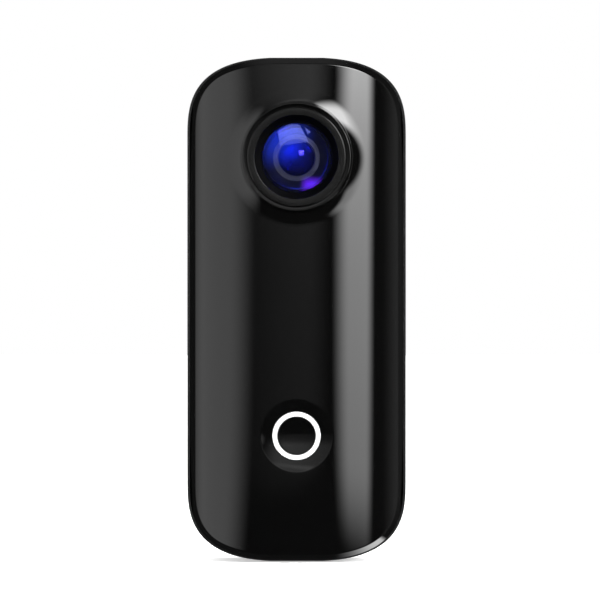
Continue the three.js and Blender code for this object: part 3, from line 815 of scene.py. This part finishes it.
def finish(name, colour, roughness, metallic=0.0, grain=0.2, bump=0.002, vary=0.2, wear=0.25,
           specular=0.5):
    """A material with grain, uneven gloss and slightly worn edges. Grain and bump are in millimetres."""
    made = Shader(name)
    body = made.body
    worn = made.math("MULTIPLY", made.edge_mask(0.12), made.remap(made.noise(1.3), 0.35, 0.7, 0.0, wear))
    lighter = tuple(min(c * 2.2 + 0.02, 1) for c in colour)
    made.link(made.mix(worn, colour, lighter), body.inputs["Base Color"])
    patch = made.remap(made.noise(2.7, 4), 0.3, 0.7, roughness * (1 - vary), roughness * (1 + vary))
    made.link(made.math("ADD", patch, made.math("MULTIPLY", worn, 0.15)), body.inputs["Roughness"])
    body.inputs["Metallic"].default_value = metallic
    body.inputs["Specular IOR Level"].default_value = specular
    relief = made.add("ShaderNodeBump")
    relief.inputs["Strength"].default_value = 1.0
    relief.inputs["Distance"].default_value = bump * MM
    made.link(made.noise(grain), relief.inputs["Height"])
    made.link(relief.outputs["Normal"], body.inputs["Normal"])
    return made


def coated_glass(name, tint, gloss, body_tint=(0.9, 0.93, 1.0)):
    """Clear glass with a coloured coating, a trace of dust and a soft smear."""
    made = Shader(name)
    clear = made.add("ShaderNodeBsdfTransparent")
    clear.inputs["Color"].default_value = (*body_tint, 1)
    shine = made.add("ShaderNodeBsdfGlossy")
    shine.inputs["Color"].default_value = (*tint, 1)
    made.link(made.remap(made.noise(1.5), 0.3, 0.7, 0.0, 0.03), shine.inputs["Roughness"])
    facing = made.add("ShaderNodeLayerWeight")
    facing.inputs["Blend"].default_value = 0.25
    share = made.remap(facing.outputs["Fresnel"], 0.0, 1.0, gloss, 1.0)
    relief = made.add("ShaderNodeBump")
    relief.inputs["Distance"].default_value = 0.0004 * MM
    made.link(made.noise(0.6), relief.inputs["Height"])
    made.link(relief.outputs["Normal"], shine.inputs["Normal"])
    blend = made.add("ShaderNodeMixShader")
    made.link(share, blend.inputs[0])
    made.link(clear.outputs[0], blend.inputs[1])
    made.link(shine.outputs[0], blend.inputs[2])
    made.link(blend.outputs[0], made.tree.nodes["Material Output"].inputs["Surface"])
    made.tree.nodes.remove(made.body)
    return made


SLOTS = {
    "gloss_black": finish("gloss_black", (0.0004, 0.0004, 0.0004), 0.045, grain=0.5, bump=0.00003,
                          vary=0.25, wear=0.02),
    "satin_black": finish("satin_black", (0.011, 0.011, 0.0115), 0.38, grain=0.12, bump=0.004, vary=0.07),
    "inner_black": finish("inner_black", (0.006, 0.006, 0.007), 0.45, grain=0.15, bump=0.003),
    "soft_black": finish("soft_black", (0.010, 0.010, 0.010), 0.7, grain=0.1, bump=0.006, vary=0.08),
    "dark_metal": finish("dark_metal", (0.004, 0.004, 0.004), 0.2, grain=0.08, bump=0.0005, specular=0.2),
    "steel": finish("steel", (0.42, 0.42, 0.43), 0.3, metallic=1.0, grain=0.1, bump=0.001),
    "light_guide": finish("light_guide", (0.86, 0.86, 0.86), 0.35, grain=0.15, bump=0.001, wear=0.0),
    "circuit_green": finish("circuit_green", (0.01, 0.08, 0.03), 0.4, grain=0.3, bump=0.004),
    "chip_black": finish("chip_black", (0.012, 0.012, 0.013), 0.45, grain=0.08, bump=0.003),
    "gold": finish("gold", (0.75, 0.5, 0.18), 0.3, metallic=1.0, grain=0.1, bump=0.001),
    "pouch_silver": finish("pouch_silver", (0.55, 0.56, 0.58), 0.4, metallic=0.8, grain=0.6, bump=0.01),
    "flex_amber": finish("flex_amber", (0.4, 0.14, 0.02), 0.4, grain=0.3, bump=0.002),
    "foam_grey": finish("foam_grey", (0.05, 0.05, 0.05), 0.95, grain=0.15, bump=0.02),
    "magnet_nickel": finish("magnet_nickel", (0.6, 0.6, 0.62), 0.22, metallic=1.0, grain=0.2, bump=0.001),
    "coated_glass": coated_glass("coated_glass", (0.35, 0.4, 1.0), 0.08),
    "clear_glass": coated_glass("clear_glass", (0.5, 0.6, 1.0), 0.12),
}
# Looks of single pieces, in the same slots.
DEEP_COATING = coated_glass("deep_coating", (0.12, 0.08, 1.0), 0.2, (0.3, 0.35, 0.9))
HOOD_BLACK = finish("hood_black", (0.0004, 0.0004, 0.0004), 0.7, grain=0.1, bump=0.004, wear=0.0,
                    specular=0.05)


def paint(piece, slot, look=None):
    """Gives a piece its slot, and the slot's own material or another look."""
    piece.data.materials.clear()
    piece.data.materials.append((look or SLOTS[slot]).material)


# ---- The pieces ----

def add_piece(piece, node, slot, body="camera_body", look=None):
    """Puts a finished piece on its body in place of a CAD node."""
    paint(piece, slot, look)
    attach(piece, body)
    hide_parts(node)


def slot_of_node():
    """Each CAD node's material slot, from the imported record."""
    return {part["node"]: part["material_slot"] for part in frame["record"]["subparts"]}


def dress_frame(slots):
    """Fine materials and smooth shading, crisp at sharper edges, for the CAD nodes that are shown as they
    are.
    """
    for name, node in frame["nodes"].items():
        if node.hide_render:
            continue
        node.data.shade_smooth()
        node.data.set_sharp_from_angle(angle=math.radians(30))
        paint(node, slots[name])


add_piece(front_cover(), "front_cover", "gloss_black")
add_piece(rear_shell(), "rear_shell", "satin_black")
add_piece(rear_pad(), "rear_pad", "soft_black")
add_piece(lens_bezel(), "lens_bezel", "dark_metal")
add_piece(lens_hood(), "lens_hood", "soft_black", look=HOOD_BLACK)
add_piece(dome("front_lens_visual", 4.25, -9.75, 0.6, -8.3, -8.02, 0.486), "front_lens", "coated_glass")
add_piece(lens_spacer(), "lens_spacer", "inner_black")
add_piece(dome("second_lens_visual", 2.18, -6.85, 0.5, -5.7, -5.5, 0.1), "second_lens", "coated_glass",
          look=DEEP_COATING)
add_piece(aperture_ring(), "aperture_ring", "inner_black")
add_piece(rear_lens(), "rear_lens", "clear_glass")
add_piece(record_button(), "record_button", "gloss_black", "record_key")
add_piece(light_ring(), "light_ring", "light_guide", "record_key")
add_piece(mode_button(), "mode_button", "satin_black", "mode_key")
add_piece(port_door(), "port_door", "satin_black", "port_flap")
add_piece(usb_port(), "usb_port", "steel")
dress_frame(slot_of_node())


# ---- Studio ----

def stage_material(name):
    """An empty material and its node tree."""
    made = bpy.data.materials.new(name)
    made.use_nodes = True
    made.node_tree.nodes.clear()
    return made, made.node_tree


def studio_floor():
    mesh = bpy.data.meshes.new("floor")
    mesh.from_pydata([(-3, -3, 0), (3, -3, 0), (3, 3, 0), (-3, 3, 0)], [], [(0, 1, 2, 3)])
    floor = bpy.data.objects.new("floor", mesh)
    bpy.context.scene.collection.objects.link(floor)
    made = Shader("floor_paint")
    made.body.inputs["Roughness"].default_value = 0.9
    made.body.inputs["Specular IOR Level"].default_value = 0.1
    made.link(made.mix(made.noise(40), (0.9, 0.9, 0.9), (0.93, 0.93, 0.93)), made.body.inputs["Base Color"])
    made.body.inputs["Emission Color"].default_value = (1, 1, 1, 1)
    made.body.inputs["Emission Strength"].default_value = 0.5
    mesh.materials.append(made.material)
    floor.visible_glossy = False


def ramp_node(tree, source, low, high):
    """A smooth step of a coordinate from 0 at low to 1 at high."""
    node = tree.nodes.new("ShaderNodeMapRange")
    node.interpolation_type = "SMOOTHSTEP"
    node.inputs["From Min"].default_value = low
    node.inputs["From Max"].default_value = high
    tree.links.new(source, node.inputs["Value"])
    return node.outputs["Result"]


def times(tree, one, other):
    """The product of a socket and another socket or a number."""
    node = tree.nodes.new("ShaderNodeMath")
    node.operation = "MULTIPLY"
    tree.links.new(one, node.inputs[0])
    if isinstance(other, (int, float)):
        node.inputs[1].default_value = other
    else:
        tree.links.new(other, node.inputs[1])
    return node.outputs["Value"]


def card_mesh(name, corners):
    """An upright card through (across, up) corners, facing along -Y."""
    mesh = bpy.data.meshes.new(name)
    mesh.from_pydata([(x, 0, z) for x, z in corners], [], [tuple(range(len(corners)))])
    card = bpy.data.objects.new(name, mesh)
    bpy.context.scene.collection.objects.link(card)
    return card


def aim_card(card, azimuth, height, distance, target=Vector((0, 0, 0.03))):
    """Azimuth 0 is in front of the lens and 90 to its right. Height is above the floor."""
    a = math.radians(azimuth)
    card.location = (math.sin(a) * distance, -math.cos(a) * distance, height)
    card.rotation_euler = (target - card.location).to_track_quat("Y", "Z").to_euler()
    card.visible_camera = False


def bowed(tree, across, up, amount, height):
    """A card's across coordinate, shifted by the square of the way from a height, up to a limit."""
    limit = 0.125
    lower = tree.nodes.new("ShaderNodeMath")
    lower.operation = "MINIMUM"
    tree.links.new(up, lower.inputs[0])
    lower.inputs[1].default_value = height + limit
    away = tree.nodes.new("ShaderNodeMath")
    away.operation = "SUBTRACT"
    tree.links.new(lower.outputs["Value"], away.inputs[0])
    away.inputs[1].default_value = height
    shifted = tree.nodes.new("ShaderNodeMath")
    shifted.operation = "ADD"
    tree.links.new(across, shifted.inputs[0])
    square = times(tree, away.outputs["Value"], away.outputs["Value"])
    tree.links.new(times(tree, square, amount), shifted.inputs[1])
    return shifted.outputs["Value"]


def glow_material(name, size, power, fade, climb, colour, bow):
    """A see-through glow that fades in from the card's left, right, bottom and top edge.

    Climb is (start, height, end). The power's share rises from start at the bottom edge, with the cube
    of the height, as far as this height above that edge. An end of 1 is full power.
    Bow is (left, right, height): how fast those two edges curve inwards away from a height.
    """
    half_w, half_h = size[0] / 2, size[1] / 2
    bow_left, bow_right, bow_height = bow
    material, tree = stage_material(name)
    coordinates = tree.nodes.new("ShaderNodeTexCoord")
    split = tree.nodes.new("ShaderNodeSeparateXYZ")
    tree.links.new(coordinates.outputs["Object"], split.inputs[0])
    across, up = split.outputs["X"], split.outputs["Z"]
    from_left = bowed(tree, across, up, -bow_left, bow_height)
    from_right = bowed(tree, across, up, bow_right, bow_height)
    glow = ramp_node(tree, from_left, -half_w, -half_w + fade[0])
    glow = times(tree, glow, ramp_node(tree, from_right, half_w, half_w - fade[1]))
    glow = times(tree, glow, ramp_node(tree, up, -half_h, -half_h + fade[2]))
    glow = times(tree, glow, ramp_node(tree, up, half_h, half_h - fade[3]))
    if climb:
        climb_start, climb_height, climb_end = climb
        rise = tree.nodes.new("ShaderNodeMapRange")
        rise.inputs["From Min"].default_value = -half_h
        rise.inputs["From Max"].default_value = -half_h + climb_height
        rise.inputs["To Max"].default_value = climb_end
        tree.links.new(up, rise.inputs["Value"])
        height = rise.outputs["Result"]
        cube = times(tree, height, times(tree, height, height))
        share = tree.nodes.new("ShaderNodeMath")
        share.operation = "MULTIPLY_ADD"
        tree.links.new(cube, share.inputs[0])
        share.inputs[1].default_value = 1 - climb_start
        share.inputs[2].default_value = climb_start
        glow = times(tree, glow, share.outputs["Value"])
    emission = tree.nodes.new("ShaderNodeEmission")
    emission.inputs["Color"].default_value = (*colour, 1)
    tree.links.new(times(tree, glow, power), emission.inputs["Strength"])
    clear = tree.nodes.new("ShaderNodeBsdfTransparent")
    both = tree.nodes.new("ShaderNodeAddShader")
    tree.links.new(emission.outputs[0], both.inputs[0])
    tree.links.new(clear.outputs[0], both.inputs[1])
    output = tree.nodes.new("ShaderNodeOutputMaterial")
    tree.links.new(both.outputs[0], output.inputs["Surface"])
    return material


def softbox(name, azimuth, height, distance, size, power, fade, climb=None, colour=(1, 1, 1),
            bow=(0, 0, 0)):
    """A glowing card that the camera doesn't see, in metres."""
    half_w, half_h = size[0] / 2, size[1] / 2
    card = card_mesh(name, ((-half_w, -half_h), (half_w, -half_h), (half_w, half_h), (-half_w, half_h)))
    card.data.materials.append(glow_material(name, size, power, fade, climb, colour, bow))
    aim_card(card, azimuth, height, distance)
    return card


def studio_world():
    """White to the camera and to the floor, nearly dark in the reflections."""
    world = bpy.data.worlds.new("studio")
    bpy.context.scene.world = world
    world.use_nodes = True
    tree = world.node_tree
    paths = tree.nodes.new("ShaderNodeLightPath")
    white = tree.nodes["Background"]
    white.inputs["Color"].default_value = (1, 1, 1, 1)
    white.inputs["Strength"].default_value = 1.0
    dark = tree.nodes.new("ShaderNodeBackground")
    dark.inputs["Color"].default_value = (1, 1, 1, 1)
    dark.inputs["Strength"].default_value = 0.055
    blend = tree.nodes.new("ShaderNodeMixShader")
    tree.links.new(paths.outputs["Is Glossy Ray"], blend.inputs[0])
    tree.links.new(white.outputs[0], blend.inputs[1])
    tree.links.new(dark.outputs[0], blend.inputs[2])
    tree.links.new(blend.outputs[0], tree.nodes["World Output"].inputs["Surface"])


def floor_light():
    """A broad overhead light that no gloss mirrors."""
    data = bpy.data.lights.new("overhead", "SUN")
    light = bpy.data.objects.new("overhead", data)
    bpy.context.scene.collection.objects.link(light)
    data.angle = math.radians(100)
    data.energy = 1.6
    light.visible_glossy = False
    light.visible_camera = False


def studio_camera():
    data = bpy.data.cameras.new("camera")
    camera = bpy.data.objects.new("camera", data)
    bpy.context.scene.collection.objects.link(camera)
    data.lens = 400
    data.sensor_width = 36
    data.clip_start = 0.05
    data.clip_end = 20
    camera.location = (0.416 * MM, -0.81, 31.64 * MM)
    camera.rotation_euler = (math.pi / 2, 0, 0)
    bpy.context.scene.camera = camera


def seen_by(name, pieces):
    """A collection of the only pieces that some cards light."""
    group = bpy.data.collections.new(name)
    for piece in pieces:
        group.objects.link(bpy.data.objects[piece])
    return group


def lens_lights():
    """Cards that only parts of the lens see: a window and its glint, a violet kick, a blue sky and others."""
    front_glass = seen_by("front_glass", ["front_lens_visual"])
    deep_glass = seen_by("deep_glass", ["second_lens_visual", "rear_lens_visual"])
    both_glasses = seen_by("both_glasses", ["front_lens_visual", "second_lens_visual", "rear_lens_visual"])
    barrel = seen_by("barrel", ["spacer_visual", "aperture_visual"])
    soft = (0.06, 0.06, 0.06, 0.06)
    kick = softbox("lens_kick", 16, -0.095, 0.30, (0.15, 0.13), 6.0, soft, colour=(0.42, 0.04, 1.0))
    window = card_mesh("lens_window", ((-0.111, -0.069), (0.081, -0.042), (0.020, 0.083),
                                       (-0.043, 0.090), (-0.128, 0.043)))
    glint = card_mesh("lens_glint", ((0.054, 0.068), (0.0747, 0.013), (0.101, 0.029)))
    pale, sharp, no_bow = (0.75, 0.8, 1.0), (0.001, 0.001, 0.2, 0.001), (0, 0, 0)
    for card, power in ((window, 2.9), (glint, 2.2)):
        glow = glow_material(card.name, (0.6, 0.26), power, sharp, None, pale, no_bow)
        card.data.materials.append(glow)
        aim_card(card, 0, 0.20, 0.40, Vector((0, 0, 0.20)))
    for card in (kick, window, glint):
        card.light_linking.receiver_collection = front_glass
    sky = softbox("lens_sky", -16, 0.20, 0.42, (0.60, 0.58), 2.6, (0.30, 0.30, 0.30, 0.28),
                  colour=(0.04, 0.14, 1.0))
    sky.light_linking.receiver_collection = both_glasses
    spark = softbox("lens_spark", 14, 0.142, 0.40, (0.12, 0.14), 18.0, (0.03, 0.02, 0.10, 0.02))
    spark.light_linking.receiver_collection = deep_glass
    lift = softbox("barrel_glow", 5, -0.03, 0.40, (0.30, 0.30), 10.0, (0.1, 0.1, 0.1, 0.1),
                   colour=(0.8, 0.72, 1.0))
    lift.light_linking.receiver_collection = barrel


def spare_the_glass(cards):
    """Keeps the body's lights off the lens, and the first one, the strip, off the shell and the ring too."""
    spared = bpy.data.collections.new("lens_glass")
    for name in ("front_lens_visual", "second_lens_visual", "rear_lens_visual"):
        spared.objects.link(bpy.data.objects[name])
    for entry in spared.collection_objects:
        entry.light_linking.link_state = "EXCLUDE"
    for card in cards:
        card.light_linking.receiver_collection = spared
    spared_by_strip = spared.copy()
    for name in ("shell_visual", "ring_visual"):
        spared_by_strip.objects.link(bpy.data.objects[name])
        spared_by_strip.collection_objects[-1].light_linking.link_state = "EXCLUDE"
    cards[0].light_linking.receiver_collection = spared_by_strip


def body_lights():
    """Cards mirrored in the body. The strip comes first."""
    return [
        softbox("strip_right", 51.5, 0.172, 0.40, (0.356, 0.558), 28, (0.150, 0.088, 0.075, 0.10),
                (0.126, 0.287, 0.82), bow=(2.7, 0, -0.17)),
        softbox("box_left", -72, 0.05, 0.40, (0.607, 0.60), 1.30, (0.185, 0.237, 0.1, 0.1), bow=(0, 4.7, 0)),
        softbox("card_front", -15, 0.285, 0.60, (1.50, 0.83), 0.68, (1.13, 0.45, 0.05, 0.1), (0.2, 0.292, 1)),
        softbox("card_top", -10, 0.617, 0.38, (1.30, 0.30), 0.62, (0.50, 0.20, 0.09, 0.10)),
        softbox("card_behind", 180, 0.45, 0.18, (0.50, 0.30), 0.16, (0.2, 0.2, 0.1, 0.1)),
        softbox("rim_right", 99, 0.05, 0.40, (0.28, 0.5), 0.26, (0.14, 0.14, 0.1, 0.1)),
        softbox("glow_low", 125, -0.19, 0.205, (0.20, 0.20), 6.0, (0.06, 0.06, 0.16, 0.03)),
    ]


def studio():
    studio_floor()
    studio_world()
    spare_the_glass(body_lights())
    lens_lights()
    floor_light()
    studio_camera()
    bpy.context.scene.view_settings.view_transform = "Standard"


studio()
